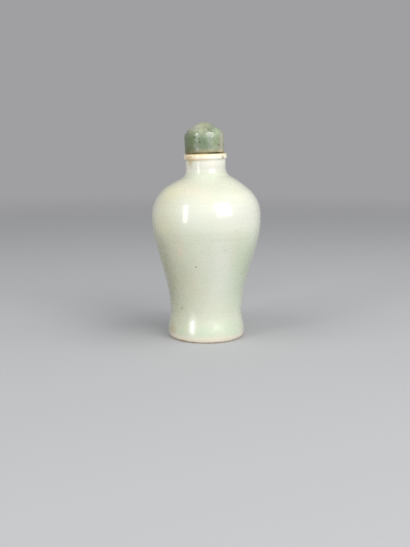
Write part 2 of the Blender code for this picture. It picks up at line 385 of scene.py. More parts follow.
def revolve(tree, given):
    """Wrap a grid round the axis, row by row along the outline, and close its seam and poles."""
    size = add(tree, "GeometryNodeAttributeDomainSize", {"Geometry": given["Outline"]}, component="MESH")
    count = size.outputs["Point Count"]
    columns = maths(tree, "ADD", given["Sides"], 1.0)
    grid = add(tree, "GeometryNodeMeshGrid", {"Vertices X": columns, "Vertices Y": count})
    index = tree.nodes.new("GeometryNodeInputIndex").outputs[0]
    column = maths(tree, "FLOOR", maths(tree, "DIVIDE", index, count))
    row = maths(tree, "SUBTRACT", index, maths(tree, "MULTIPLY", column, count))
    place = tree.nodes.new("GeometryNodeInputPosition").outputs[0]
    sample = {"Geometry": given["Outline"], "Index": row}
    point = add(tree, "GeometryNodeSampleIndex", {**sample, "Value": place}, data_type="FLOAT_VECTOR")
    parts = add(tree, "ShaderNodeSeparateXYZ", {0: point.outputs[0]}).outputs
    whole_turns = maths(tree, "DIVIDE", column, given["Sides"])
    angle = maths(tree, "MULTIPLY", whole_turns, 2.0 * math.pi)
    spoke = {
        "X": maths(tree, "MULTIPLY", parts["X"], maths(tree, "COSINE", angle)),
        "Y": maths(tree, "MULTIPLY", parts["X"], maths(tree, "SINE", angle)),
        "Z": parts["Z"],
    }
    around = add(tree, "ShaderNodeCombineXYZ", spoke).outputs[0]
    turned = add(tree, "GeometryNodeSetPosition", {"Geometry": grid.outputs["Mesh"], "Position": around})
    mesh = turned.outputs[0]
    for label in ("inside", "underneath"):
        carried = add(tree, "GeometryNodeInputNamedAttribute", {"Name": label}, data_type="FLOAT").outputs[0]
        value = add(tree, "GeometryNodeSampleIndex", {**sample, "Value": carried}, data_type="FLOAT")
        stored = {"Geometry": mesh, "Name": label, "Value": value.outputs[0]}
        mesh = add(tree, "GeometryNodeStoreNamedAttribute", stored, data_type="FLOAT").outputs[0]
    closed = add(tree, "GeometryNodeMergeByDistance", {"Geometry": mesh, "Distance": MERGE_DISTANCE})
    return closed.outputs[0]


def hand_work(tree, given, mesh):
    """Press throwing ridges and the unevenness of handwork into the outer surface."""
    place = tree.nodes.new("GeometryNodeInputPosition").outputs[0]
    height = add(tree, "ShaderNodeSeparateXYZ", {0: place}).outputs["Z"]
    drift = maths(tree, "DIVIDE", 1.0, given["Ridge Drift"])
    pace = maths(tree, "DIVIDE", 1.0, given["Ridge Spacing"])
    stretch = add(tree, "ShaderNodeCombineXYZ", {"X": drift, "Y": drift, "Z": pace}).outputs[0]
    along = vector_maths(tree, "MULTIPLY", place, stretch)
    ridges = noise(tree, along, 1.0, given["Seed"])[0]
    finer = scaled(tree, place, maths(tree, "DIVIDE", 1.0, given["Lump Size"]))
    lumps = maths(tree, "SUBTRACT", noise(tree, finer, 1.5, given["Seed"])[0], given["Lump Bias"])
    lump_depth = maths(tree, "MULTIPLY", given["Lump Depth"], lumps)
    depth = maths(tree, "MULTIPLY_ADD", given["Ridge Depth"], ridges, lump_depth)
    for label in ("inside", "underneath"):
        part = add(tree, "GeometryNodeInputNamedAttribute", {"Name": label}, data_type="FLOAT").outputs[0]
        depth = maths(tree, "MULTIPLY", depth, maths(tree, "SUBTRACT", 1.0, part))
    above_base = maths(tree, "SUBTRACT", height, given["Level Base"])
    depth = maths(tree, "MULTIPLY", depth, ease(tree, above_base, 0.0, given["Level Rise"]))
    outwards = tree.nodes.new("GeometryNodeInputNormal").outputs[0]
    inwards = scaled(tree, outwards, maths(tree, "MULTIPLY", depth, -1.0))
    return add(tree, "GeometryNodeSetPosition", {"Geometry": mesh, "Offset": inwards}).outputs[0]


def leaning(tree, given, mesh):
    """Bend the upper part over: straight, then a short bend, then straight."""
    place = tree.nodes.new("GeometryNodeInputPosition").outputs[0]
    parts = add(tree, "ShaderNodeSeparateXYZ", {0: place}).outputs
    across = maths(tree, "ADD", parts["X"], given["Side Offset"])
    start = given["Lean Start"]
    above = maths(tree, "MAXIMUM", maths(tree, "SUBTRACT", parts["Z"], start), 0.0)
    reach = maths(tree, "MINIMUM", above, given["Lean Stretch"])
    beyond = maths(tree, "SUBTRACT", above, reach)
    bend_radius = maths(tree, "DIVIDE", given["Lean Stretch"], given["Lean Angle"])
    angle = maths(tree, "DIVIDE", reach, bend_radius)
    sine = maths(tree, "SINE", angle)
    cosine = maths(tree, "COSINE", angle)
    shift = maths(tree, "MULTIPLY", bend_radius, maths(tree, "SUBTRACT", cosine, 1.0))
    shift = maths(tree, "SUBTRACT", shift, maths(tree, "MULTIPLY", beyond, sine))
    lift = maths(tree, "MULTIPLY_ADD", beyond, cosine, maths(tree, "MULTIPLY", bend_radius, sine))
    level = maths(tree, "ADD", maths(tree, "MINIMUM", parts["Z"], start), lift)
    bent = {
        "X": maths(tree, "MULTIPLY_ADD", across, cosine, shift),
        "Y": parts["Y"],
        "Z": maths(tree, "MULTIPLY_ADD", across, sine, level),
    }
    new_place = add(tree, "ShaderNodeCombineXYZ", bent).outputs[0]
    return add(tree, "GeometryNodeSetPosition", {"Geometry": mesh, "Position": new_place}).outputs[0]


def turned_form():
    """The whole tree, from an outline to a finished piece."""
    outputs = [("Piece", "Geometry", None)]
    tree, given, result = new_tree("Turned form", "GeometryNodeTree", TURNED_INPUTS, outputs)
    mesh = hand_work(tree, given, revolve(tree, given))
    place = tree.nodes.new("GeometryNodeInputPosition").outputs[0]
    rise = add(tree, "ShaderNodeSeparateXYZ", {0: place}).outputs["Z"]
    stored = {"Geometry": mesh, "Name": "rise", "Value": rise}
    mesh = add(tree, "GeometryNodeStoreNamedAttribute", stored, data_type="FLOAT").outputs[0]
    mesh = leaning(tree, given, mesh)
    mesh = add(tree, "GeometryNodeSetShadeSmooth", {"Geometry": mesh}).outputs[0]
    mesh = add(tree, "GeometryNodeRealizeInstances", {"Geometry": mesh}).outputs[0]
    mesh = add(tree, "GeometryNodeSetMaterial", {"Geometry": mesh, "Material": given["Material"]}).outputs[0]
    put(tree, result.inputs[0], mesh)
    return tree


def outline_mesh(name, stretches):
    """Lay an outline in the plane of X and Z; each stretch is (points, inside, underneath)."""
    points = [(x, 0.0, z) for stretch, _, _ in stretches for x, z in stretch]
    mesh = bpy.data.meshes.new(name)
    mesh.from_pydata(points, [(k, k + 1) for k in range(len(points) - 1)], [])
    for column, label in ((1, "inside"), (2, "underneath")):
        values = [float(row[column]) for row in stretches for _ in row[0]]
        mesh.attributes.new(label, "FLOAT", "POINT").data.foreach_set("value", values)
    return mesh


def turn(name, stretches, tree, **inputs):
    """Turn one piece, and keep the result as a plain mesh that stands at the origin."""
    blank = bpy.data.objects.new(name + "_outline", outline_mesh(name + "_outline", stretches))
    bpy.context.scene.collection.objects.link(blank)
    modifier = blank.modifiers.new("Turned form", "NODES")
    modifier.node_group = tree
    sockets = {item.name: item.identifier for item in tree.interface.items_tree if item.in_out == "INPUT"}
    for label, value in inputs.items():
        modifier[sockets[label.replace("_", " ").title()]] = value
    bpy.context.view_layer.update()
    graph = bpy.context.evaluated_depsgraph_get()
    mesh = bpy.data.meshes.new_from_object(blank.evaluated_get(graph), depsgraph=graph)
    mesh.name = name
    blank.modifiers.remove(modifier)
    bpy.data.objects.remove(blank)
    piece = bpy.data.objects.new(name, mesh)
    bpy.context.scene.collection.objects.link(piece)
    return piece


# Places seen in the photograph

VIEW_TURN = Matrix.Rotation(math.radians(90) - CAMERA_PITCH, 3, "X")


def seen_on(node, pixel):
    """The point of a solid that the camera sees at a pixel of the photograph."""
    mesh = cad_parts[node].data
    surface = BVHTree.FromPolygons([v.co for v in mesh.vertices], [p.vertices for p in mesh.polygons])
    sideways = (pixel[0] - IMAGE_WIDTH / 2) / FOCAL_PIXELS
    upwards = (IMAGE_HEIGHT / 2 - pixel[1]) / FOCAL_PIXELS
    direction = VIEW_TURN @ Vector((sideways, upwards, -1.0))
    place, _, _, _ = surface.ray_cast(CAMERA_PLACE, direction.normalized())
    return place


# Shader groups

def object_place(tree):
    """Position on the piece, from its own coordinates."""
    return tree.nodes.new("ShaderNodeTexCoord").outputs["Object"]


def cloud_group():
    """Soft irregular clouds: a mask that turns from 0 to 1 as the noise passes from Low to High."""
    inputs = [
        ("Size", "Float", 0.005),
        ("Detail", "Float", 2.0),
        ("Low", "Float", 0.4),
        ("High", "Float", 0.6),
        ("Seed", "Float", 0.0),
    ]
    tree, given, result = new_tree("Clouds", "ShaderNodeTree", inputs, [("Mask", "Float", None)])
    place = scaled(tree, object_place(tree), maths(tree, "DIVIDE", 1.0, given["Size"]))
    value = noise(tree, place, given["Detail"], given["Seed"])[0]
    put(tree, result.inputs[0], ease(tree, value, given["Low"], given["High"]))
    return tree


def spot_group():
    """One soft spot about a centre, stretched by the stretch and with a wandering edge."""
    inputs = [
        ("Centre", "Vector", (0.0, 0.0, 0.0)),
        ("Radius", "Float", 0.001),
        ("Edge", "Float", 0.5),
        ("Stretch", "Vector", (1.0, 1.0, 1.0)),
        ("Waver", "Float", 0.0),
        ("Waver Size", "Float", 0.001),
    ]
    tree, given, result = new_tree("Spot", "ShaderNodeTree", inputs, [("Mask", "Float", None)])
    place = object_place(tree)
    finer = scaled(tree, place, maths(tree, "DIVIDE", 1.0, given["Waver Size"]))
    wander = vector_maths(tree, "SUBTRACT", noise(tree, finer, 2.0)[1], (0.5, 0.5, 0.5))
    wander = scaled(tree, wander, maths(tree, "MULTIPLY", given["Waver"], given["Radius"]))
    from_centre = vector_maths(tree, "SUBTRACT", vector_maths(tree, "ADD", place, wander), given["Centre"])
    from_centre = vector_maths(tree, "DIVIDE", from_centre, given["Stretch"])
    distance = add(tree, "ShaderNodeVectorMath", {0: from_centre}, operation="LENGTH").outputs["Value"]
    share = maths(tree, "DIVIDE", distance, given["Radius"])
    inner = maths(tree, "SUBTRACT", 1.0, given["Edge"])
    outer = maths(tree, "ADD", 1.0, given["Edge"])
    put(tree, result.inputs[0], ease(tree, share, inner, outer, 1.0, 0.0))
    return tree


def band_group():
    """A band around the piece between two heights on its own axis, with soft and wavering edges."""
    inputs = [
        ("Low", "Float", 0.0),
        ("High", "Float", 0.001),
        ("Low Edge", "Float", 0.0002),
        ("High Edge", "Float", 0.0002),
        ("Waver", "Float", 0.0),
        ("Waver Size", "Float", 0.004),
    ]
    tree, given, result = new_tree("Band", "ShaderNodeTree", inputs, [("Mask", "Float", None)])
    rise = add(tree, "ShaderNodeAttribute", attribute_name="rise").outputs["Fac"]
    finer = scaled(tree, object_place(tree), maths(tree, "DIVIDE", 1.0, given["Waver Size"]))
    wander = maths(tree, "SUBTRACT", noise(tree, finer, 2.0)[0], 0.5)
    wander = maths(tree, "MULTIPLY", wander, given["Waver"])
    level = maths(tree, "ADD", rise, wander)
    low_end = maths(tree, "ADD", given["Low"], given["Low Edge"])
    above = ease(tree, level, given["Low"], low_end)
    high_start = maths(tree, "SUBTRACT", given["High"], given["High Edge"])
    below = ease(tree, level, high_start, given["High"], 1.0, 0.0)
    put(tree, result.inputs[0], maths(tree, "MULTIPLY", above, below))
    return tree


def speck_group():
    """Small round specks scattered in a share of the cells of a grid of this size."""
    inputs = [
        ("Size", "Float", 0.001),
        ("Share", "Float", 0.3),
        ("Radius", "Float", 0.2),
        ("Seed", "Float", 0.0),
    ]
    tree, given, result = new_tree("Specks", "ShaderNodeTree", inputs, [("Mask", "Float", None)])
    place = scaled(tree, object_place(tree), maths(tree, "DIVIDE", 1.0, given["Size"]))
    cells = {"Vector": place, "W": given["Seed"], "Scale": 1.0}
    cell = add(tree, "ShaderNodeTexVoronoi", cells, voronoi_dimensions="4D", feature="F1")
    chance = add(tree, "ShaderNodeSeparateColor", {0: cell.outputs["Color"]}).outputs
    chosen = maths(tree, "LESS_THAN", chance[0], given["Share"])
    radius = maths(tree, "MULTIPLY", given["Radius"], maths(tree, "ADD", chance[1], 0.4))
    shape = ease(tree, cell.outputs["Distance"], maths(tree, "MULTIPLY", radius, 0.4), radius, 1.0, 0.0)
    put(tree, result.inputs[0], maths(tree, "MULTIPLY", shape, chosen))
    return tree


def turning_group():
    """Fine lines left by the wheel, running round the piece: a height from 0 to 1."""
    inputs = [
        ("Spacing", "Float", 0.0006),
        ("Drift", "Float", 0.02),
        ("Seed", "Float", 0.0),
    ]
    tree, given, result = new_tree("Turning lines", "ShaderNodeTree", inputs, [("Height", "Float", None)])
    place = add(tree, "ShaderNodeSeparateXYZ", {0: object_place(tree)}).outputs
    rise = add(tree, "ShaderNodeAttribute", attribute_name="rise").outputs["Fac"]
    lines = {
        "X": maths(tree, "DIVIDE", place["X"], given["Drift"]),
        "Y": maths(tree, "DIVIDE", place["Y"], given["Drift"]),
        "Z": maths(tree, "DIVIDE", rise, given["Spacing"]),
    }
    along = add(tree, "ShaderNodeCombineXYZ", lines).outputs[0]
    put(tree, result.inputs[0], ease(tree, noise(tree, along, 2.0, given["Seed"])[0], 0.25, 0.75))
    return tree


CLOUDS = cloud_group()
SPOT = spot_group()
BAND = band_group()
SPECKS = speck_group()
TURNING = turning_group()


def effect(tree, group, **inputs):
    """Place a shader group in a material with its own values, and give its mask or height."""
    values = {label.replace("_", " ").title(): value for label, value in inputs.items()}
    made = tree.nodes.new("ShaderNodeGroup")
    made.node_tree = group
    for label, value in values.items():
        put(tree, made.inputs[label], value)
    return made.outputs[0]


def over(tree, mask, below, above, share=1.0):
    """Lay one colour over another where the mask is 1, at most by the share."""
    factor = maths(tree, "MULTIPLY", mask, share)
    inputs = {"Factor_Float": factor, "A_Color": below, "B_Color": above}
    return add(tree, "ShaderNodeMix", inputs, data_type="RGBA").outputs["Result"]


def over_value(tree, mask, below, above):
    """Change a value where the mask is 1."""
    return add(tree, "ShaderNodeMix", {"Factor_Float": mask, "A_Float": below, "B_Float": above}).outputs[0]


def attribute(tree, name):
    """A value that the piece's mesh carries."""
    return add(tree, "ShaderNodeAttribute", attribute_name=name).outputs["Fac"]


def new_material(name):
    """A material with its node tree and its shader."""
    material = bpy.data.materials.new(name)
    material.use_nodes = True
    return material, material.node_tree, material.node_tree.nodes["Principled BSDF"]


def finish_material(tree, shader, colour, roughness, height, depth):
    """Join the colour, the roughness and the fine relief to the shader."""
    put(tree, shader.inputs["Base Color"], colour)
    put(tree, shader.inputs["Roughness"], roughness)
    bump = add(tree, "ShaderNodeBump", {"Strength": 1.0, "Distance": depth, "Height": height})
    put(tree, shader.inputs["Normal"], bump.outputs[0])


def lay_marks(tree, node, marks, colour):
    """Lay placed marks over a colour; each is (pixel, radius, edge, stretch, waver, colour, share)."""
    for pixel, radius, edge, stretch, waver, mark_colour, share in marks.values():
        values = {"centre": seen_on(node, pixel), "radius": radius, "edge": edge, "stretch": stretch}
        mask = effect(tree, SPOT, waver=waver, waver_size=max(radius * 0.5, 0.0003), **values)
        colour = over(tree, mask, colour, mark_colour, share)
    return colour


# Where the gloss of the foot is worn, at its pixel in the photograph
WORN_FOOT = (215.5, 328.0)

# Marks on the glaze: (pixel, radius, edge, stretch, waver, colour, share), among them painted shade, light
# and sheen. The first patches lie under the pale bands, the upper ones over them, and the foot's over its
# green pool.

GLAZE_PATCHES = {
    # The two olive patches below: the glaze's olive tone on the left, deepened by painted shade on the side
    # away from the main light.
    "olive_shaded_side": ((158, 252), 0.0125, 0.9, (1.0, 1.0, 1.4), 0.3, srgb(170, 170, 140), 0.85),
    "olive_shaded_waist": ((171, 292), 0.0095, 0.9, (1.0, 1.0, 1.4), 0.3, srgb(174, 176, 148), 0.75),
    "beige_shoulder": ((163, 211), 0.0070, 0.8, (1.0, 1.0, 1.0), 0.5, srgb(206, 201, 162), 0.80),
    "yellow_shoulder": ((172, 188), 0.0050, 0.9, (1.2, 1.0, 0.8), 0.5, srgb(222, 217, 183), 0.70),
    "green_side": ((247, 262), 0.0080, 0.9, (1.0, 1.0, 1.6), 0.4, srgb(184, 199, 170), 0.80),
    "green_waist": ((236, 292), 0.0055, 0.9, (1.0, 1.0, 1.8), 0.4, srgb(193, 204, 182), 0.60),
    # Painted light: the right edge of the shoulder made paler, as if lit from the right.
    "painted_light_right": ((251, 204), 0.0075, 0.9, (1.0, 1.0, 1.3), 0.4, srgb(232, 234, 219), 0.80),
    # Painted reflection: an upright pale sheen on the front of the lower body, where the main light is
    # mirrored from below.
    "painted_sheen_front": ((222, 268), 0.0040, 0.9, (0.8, 1.5, 3.0), 0.4, srgb(212, 214, 203), 0.70),
    "peach_shoulder": ((191, 190), 0.0022, 0.8, (1.3, 1.5, 0.8), 0.6, srgb(226, 208, 184), 0.40),
    "peach_front": ((206, 197), 0.0032, 0.8, (1.0, 1.5, 1.2), 0.6, srgb(222, 210, 190), 0.40),
    "peach_edge": ((158, 205), 0.0014, 0.8, (1.0, 1.5, 1.5), 0.6, srgb(222, 200, 178), 0.45),
    "peach_streak": ((180, 252), 0.0010, 0.8, (1.0, 1.5, 5.0), 0.5, srgb(206, 194, 170), 0.50),
    # Painted shade: the lower body darkened at its left and right edges.
    "shade_left_edge": ((163.6, 265), 0.0046, 0.9, (1.0, 1.0, 2.6), 0.3, srgb(148, 148, 118), 0.80),
    "shade_right_edge": ((248, 268), 0.0042, 0.9, (1.0, 1.0, 2.2), 0.3, srgb(166, 174, 150), 0.60),
}

UPPER_PATCHES = {
    "cream_belly_left": ((162, 217), 0.0060, 0.9, (1.0, 1.0, 0.8), 0.4, srgb(208, 206, 168), 0.40),
    "cream_shoulder_right": ((236, 190), 0.0050, 0.9, (1.2, 1.0, 0.7), 0.4, srgb(208, 206, 180), 0.40),
    # Painted shade: the left edge of the waist and lower body darkened, with an olive cast.
    "shade_waist_left": ((172, 306), 0.0040, 0.9, (1.0, 1.0, 1.7), 0.3, srgb(146, 146, 118), 0.70),
    "olive_shade_left": ((164.5, 268), 0.0040, 0.9, (1.0, 1.0, 2.2), 0.4, srgb(156, 156, 120), 0.45),
}

FOOT_PATCHES = {
    "grey_foot_left": ((174, 322), 0.0055, 0.9, (1.0, 1.0, 1.2), 0.5, srgb(190, 192, 168), 0.85),
    "tan_foot_left": ((172, 331.5), 0.0019, 0.6, (1.0, 1.5, 1.3), 0.9, srgb(202, 186, 148), 0.65),
    "brown_foot_left": ((171.5, 331), 0.0020, 0.8, (0.8, 1.5, 1.5), 0.5, srgb(158, 152, 124), 0.50),
    # Painted shade: the right edge just above the foot darkened.
    "shade_foot_right": ((242.5, 316), 0.0026, 0.9, (0.8, 1.5, 2.4), 0.4, srgb(170, 174, 156), 0.50),
    # Painted highlight: a pale sheen beside the left light's reflection on the foot.
    "painted_sheen_foot_left": ((192.5, 326), 0.0013, 0.8, (1.0, 1.5, 2.6), 0.4, srgb(232, 234, 220), 0.60),
    "pink_foot_right": ((242.5, 330.5), 0.0015, 0.6, (1.0, 1.5, 1.4), 0.9, srgb(208, 198, 176), 0.45),
}

LIP_MARKS = {
    # Painted light: the left edge of the neck made paler.
    "painted_light_neck_left": ((187.5, 167.0), 0.0014, 0.8, (1.0, 1.5, 1.8), 0.4, srgb(226, 221, 206), 0.70),
    "ochre_edge": ((189.5, 159.0), 0.0018, 0.5, (1.3, 1.5, 0.45), 0.8, srgb(206, 178, 130), 0.80),
    "ochre_corner": ((186, 157.0), 0.0011, 0.6, (1.0, 1.5, 0.9), 0.8, srgb(206, 186, 150), 0.40),
    "brown_run": ((190, 162.0), 0.0010, 0.7, (1.0, 1.5, 1.7), 0.7, srgb(186, 174, 134), 0.65),
    "white_edge": ((214, 157.5), 0.0034, 0.9, (1.3, 1.5, 0.6), 0.5, srgb(231, 229, 216), 0.80),
    # Painted light: the right end of the lip band whitened where it turns away from the light.
    "painted_light_lip_end": ((225, 157.0), 0.0013, 0.7, (1.0, 1.5, 1.2), 0.4, srgb(240, 237, 220), 0.80),
    "warm_edge": ((200, 159.2), 0.0022, 0.6, (1.6, 1.5, 0.30), 0.8, srgb(226, 204, 178), 0.50),
    "brown_pit": ((223, 157.5), 0.0006, 0.6, (0.8, 1.5, 0.9), 0.4, srgb(160, 150, 118), 0.80),
}

SPECKS_IN_GLAZE = {
    "black_speck": ((196.0, 267.2), 0.00024, 0.35, (1.0, 1.0, 1.0), 0.4, srgb(52, 54, 40), 0.95),
    "grey_speck": ((224.8, 250.2), 0.00020, 0.4, (1.0, 1.0, 1.0), 0.4, srgb(128, 134, 112), 0.70),
    "faint_speck": ((236.4, 230.4), 0.00045, 0.5, (1.2, 1.0, 0.8), 0.4, srgb(176, 182, 164), 0.35),
    "waist_speck": ((241.6, 287.2), 0.00020, 0.4, (0.8, 1.0, 1.3), 0.4, srgb(120, 128, 112), 0.60),
    "soft_speck": ((181.8, 308.4), 0.00042, 0.6, (1.0, 1.0, 1.1), 0.4, srgb(122, 126, 98), 0.65),
}


# Bands round the pieces: where each starts and ends on the piece's own axis, and how softly

BANDS = {
    "painted_belly_sheen": {"low": BELLY_Z - 0.006, "high": BELLY_Z + 0.010, "low_edge": 0.009, "high_edge": 0.006},
    "pale_waist": {"low": 0.0070, "high": 0.0110, "low_edge": 0.004, "high_edge": 0.005, "waver": 0.001},
    "worked_body": {"low": 0.033, "high": 0.040, "low_edge": 0.005, "high_edge": 0.004, "waver": 0.001},
    "shoulder_pool": {"low": SHOULDER_Z - 0.0006, "high": SHOULDER_Z + 0.0012, "low_edge": 0.0014,
                      "high_edge": 0.0010, "waver": 0.0008, "waver_size": 0.004},
    "foot_pool": {"low": 0.0012, "high": 0.0078, "low_edge": 0.0016, "high_edge": 0.0045,
                  "waver": 0.0024, "waver_size": 0.006},
    "grey_neck": {"low": NECK_Z - 0.0012, "high": RIM_Z + 0.002, "low_edge": 0.0010},
    "under_lip_shade": {"low": LIP_Z - 0.0004, "high": BAND_Z + 0.0002, "low_edge": 0.0004,
                  "high_edge": 0.0004, "waver": 0.0003, "waver_size": 0.002},
    "cream_lip": {"low": BAND_Z - 0.0004, "high": RIM_Z + 0.002, "low_edge": 0.0005,
                  "waver": 0.0006, "waver_size": 0.003},
    "lip_top": {"low": RIM_Z - 0.0006, "high": RIM_Z + 0.002, "low_edge": 0.0004},
    "dull_neck": {"low": RIM_Z - 0.0050, "high": RIM_Z + 0.01, "low_edge": 0.0012, "waver": 0.0004},
    "thin_foot": {"low": -0.002, "high": 0.0030, "high_edge": 0.0018, "waver": 0.0010, "waver_size": 0.003},
    "bare_foot": {"low": -0.002, "high": 0.0007, "high_edge": 0.0003, "waver": 0.0008, "waver_size": 0.002},
    "standing_ring": {"low": -0.001, "high": 0.0010, "high_edge": 0.0008},
    "brown_base": {"low": CAP_SEAT_Z - 0.001, "high": CAP_SEAT_Z + 0.0013, "high_edge": 0.0011,
                   "waver": 0.0005},
    "polished_top": {"low": CAP_SEAT_Z + 0.0060, "high": CAP_SEAT_Z + 0.02, "low_edge": 0.0012,
                     "waver": 0.0006},
    "cement": {"low": RIM_Z - 0.0001, "high": RIM_Z + 0.01, "low_edge": 0.0001},
}

# How deep the fine relief of each finish looks
GLAZE_RELIEF = 0.0000015
JADE_RELIEF = 0.000006
CORK_RELIEF = 0.00006


# Finishes

def glaze_body(tree, lines, fine):
    """The glaze's grey green, cloudy, drifting to olive and a cooler green, with painted shade, light and
    sheen.
    """
    colour = srgb(202, 205, 186)
    clouds = effect(tree, CLOUDS, size=0.008, low=0.38, high=0.62, seed=1.0)
    colour = over(tree, clouds, colour, srgb(197, 206, 185), 0.6)
    clouds = effect(tree, CLOUDS, size=0.012, low=0.48, high=0.68, seed=5.0)
    colour = over(tree, clouds, colour, srgb(209, 201, 181), 0.5)
    colour = lay_marks(tree, "bottle", GLAZE_PATCHES, colour)
    # Painted sheen: a whiter band round the upper belly, standing in for a broad soft reflection of the
    # lights.
    belly = effect(tree, BAND, **BANDS["painted_belly_sheen"])
    colour = over(tree, belly, colour, srgb(216, 218, 205), 0.75)
    waist = effect(tree, BAND, **BANDS["pale_waist"])
    colour = over(tree, waist, colour, srgb(215, 217, 205), 0.6)
    colour = lay_marks(tree, "bottle", UPPER_PATCHES, colour)
    colour = over(tree, lines, colour, srgb(180, 185, 163), 0.14)
    worked = maths(tree, "MULTIPLY", lines, effect(tree, BAND, **BANDS["worked_body"]))
    colour = over(tree, worked, colour, srgb(176, 180, 158), 0.30)
    small = effect(tree, CLOUDS, size=0.0022, low=0.35, high=0.65, detail=3.0, seed=8.0)
    colour = over(tree, small, colour, srgb(214, 215, 200), 0.12)
    return over(tree, fine, colour, srgb(188, 193, 172), 0.05)


def glaze_pools(tree, colour):
    """Greener rings where the glaze lies thick, at the foot of the neck and above the foot; the foot's
    patches hold painted shade and a painted sheen.
    """
    pool = effect(tree, BAND, **BANDS["shoulder_pool"])
    colour = over(tree, pool, colour, srgb(199, 209, 187), 0.75)
    pool = effect(tree, BAND, **BANDS["foot_pool"])
    uneven = effect(tree, CLOUDS, size=0.006, low=0.30, high=0.60, seed=11.0)
    colour = over(tree, maths(tree, "MULTIPLY", pool, uneven), colour, srgb(186, 204, 176), 0.80)
    return lay_marks(tree, "bottle", FOOT_PATCHES, colour)


def lip_finish(tree, colour):
    """Greyer neck, painted shade under the lip's flare, and a cream band where the glaze thins over the lip.
    """
    neck = effect(tree, BAND, **BANDS["grey_neck"])
    colour = over(tree, neck, colour, srgb(211, 210, 198), 0.90)
    # Painted shade: a darker band under the lip's flare.
    under_lip_shade = effect(tree, BAND, **BANDS["under_lip_shade"])
    colour = over(tree, under_lip_shade, colour, srgb(196, 192, 168), 0.40)
    band = effect(tree, BAND, **BANDS["cream_lip"])
    colour = over(tree, band, colour, srgb(228, 219, 193))
    colour = lay_marks(tree, "bottle", LIP_MARKS, colour)
    return over(tree, effect(tree, BAND, **BANDS["lip_top"]), colour, srgb(230, 206, 150), 0.80)


def celadon_glaze():
    """Pale grey-green glaze over porcelain, thin and cream at the lip, with a bare buff foot edge."""
    material, tree, shader = new_material("celadon_on_porcelain")
    lines = effect(tree, TURNING, spacing=0.0008, drift=0.02, seed=3.0)
    fine = effect(tree, CLOUDS, size=0.0012, low=0.3, high=0.7, detail=1.0, seed=8.0)
    colour = glaze_body(tree, lines, fine)
    colour = glaze_pools(tree, colour)
    colour = lip_finish(tree, colour)
    thin = effect(tree, BAND, **BANDS["thin_foot"])
    colour = over(tree, thin, colour, srgb(224, 217, 197), 0.90)
    bare = effect(tree, BAND, **BANDS["bare_foot"])
    stain = effect(tree, CLOUDS, size=0.003, low=0.42, high=0.62, detail=3.0, seed=14.0)
    paste = over(tree, stain, srgb(222, 206, 180), srgb(190, 162, 132))
    colour = over(tree, bare, colour, paste)
    colour = lay_marks(tree, "bottle", SPECKS_IN_GLAZE, colour)
    dots = effect(tree, SPECKS, size=0.0042, share=0.10, radius=0.045, seed=2.0)
    colour = over(tree, dots, colour, srgb(120, 112, 84), 0.6)
    under = attribute(tree, "underneath")
    recess = effect(tree, CLOUDS, size=0.004, low=0.4, high=0.6, seed=4.0)
    colour = over(tree, under, colour, over(tree, recess, srgb(196, 200, 178), srgb(206, 198, 172)))
    ring = maths(tree, "MULTIPLY", under, effect(tree, BAND, **BANDS["standing_ring"]))
    colour = over(tree, ring, colour, paste)
    colour = over(tree, attribute(tree, "inside"), colour, srgb(204, 202, 186))
    dry = maths(tree, "MAXIMUM", bare, ring)
    rough = over_value(tree, dry, over_value(tree, fine, 0.24, 0.32), 0.65)
    worn_foot = effect(tree, SPOT, centre=seen_on("bottle", WORN_FOOT), radius=0.0030, edge=0.7, waver=0.3)
    dull_neck = effect(tree, BAND, **BANDS["dull_neck"])
    dull = maths(tree, "MULTIPLY", maths(tree, "MAXIMUM", worn_foot, dull_neck), 0.7)
    coat = maths(tree, "SUBTRACT", 1.0, maths(tree, "MAXIMUM", dry, dull))
    put(tree, shader.inputs["Coat Weight"], coat)
    height = maths(tree, "MULTIPLY_ADD", lines, 0.6, fine)
    height = maths(tree, "SUBTRACT", height, maths(tree, "MULTIPLY", dots, 4.0))
    finish_material(tree, shader, colour, rough, height, GLAZE_RELIEF)
    shader.inputs["Coat Roughness"].default_value = 0.05
    shader.inputs["IOR"].default_value = 1.45
    return material


# Colour zones of the cap, and the pits and the patch that lie over its brown base

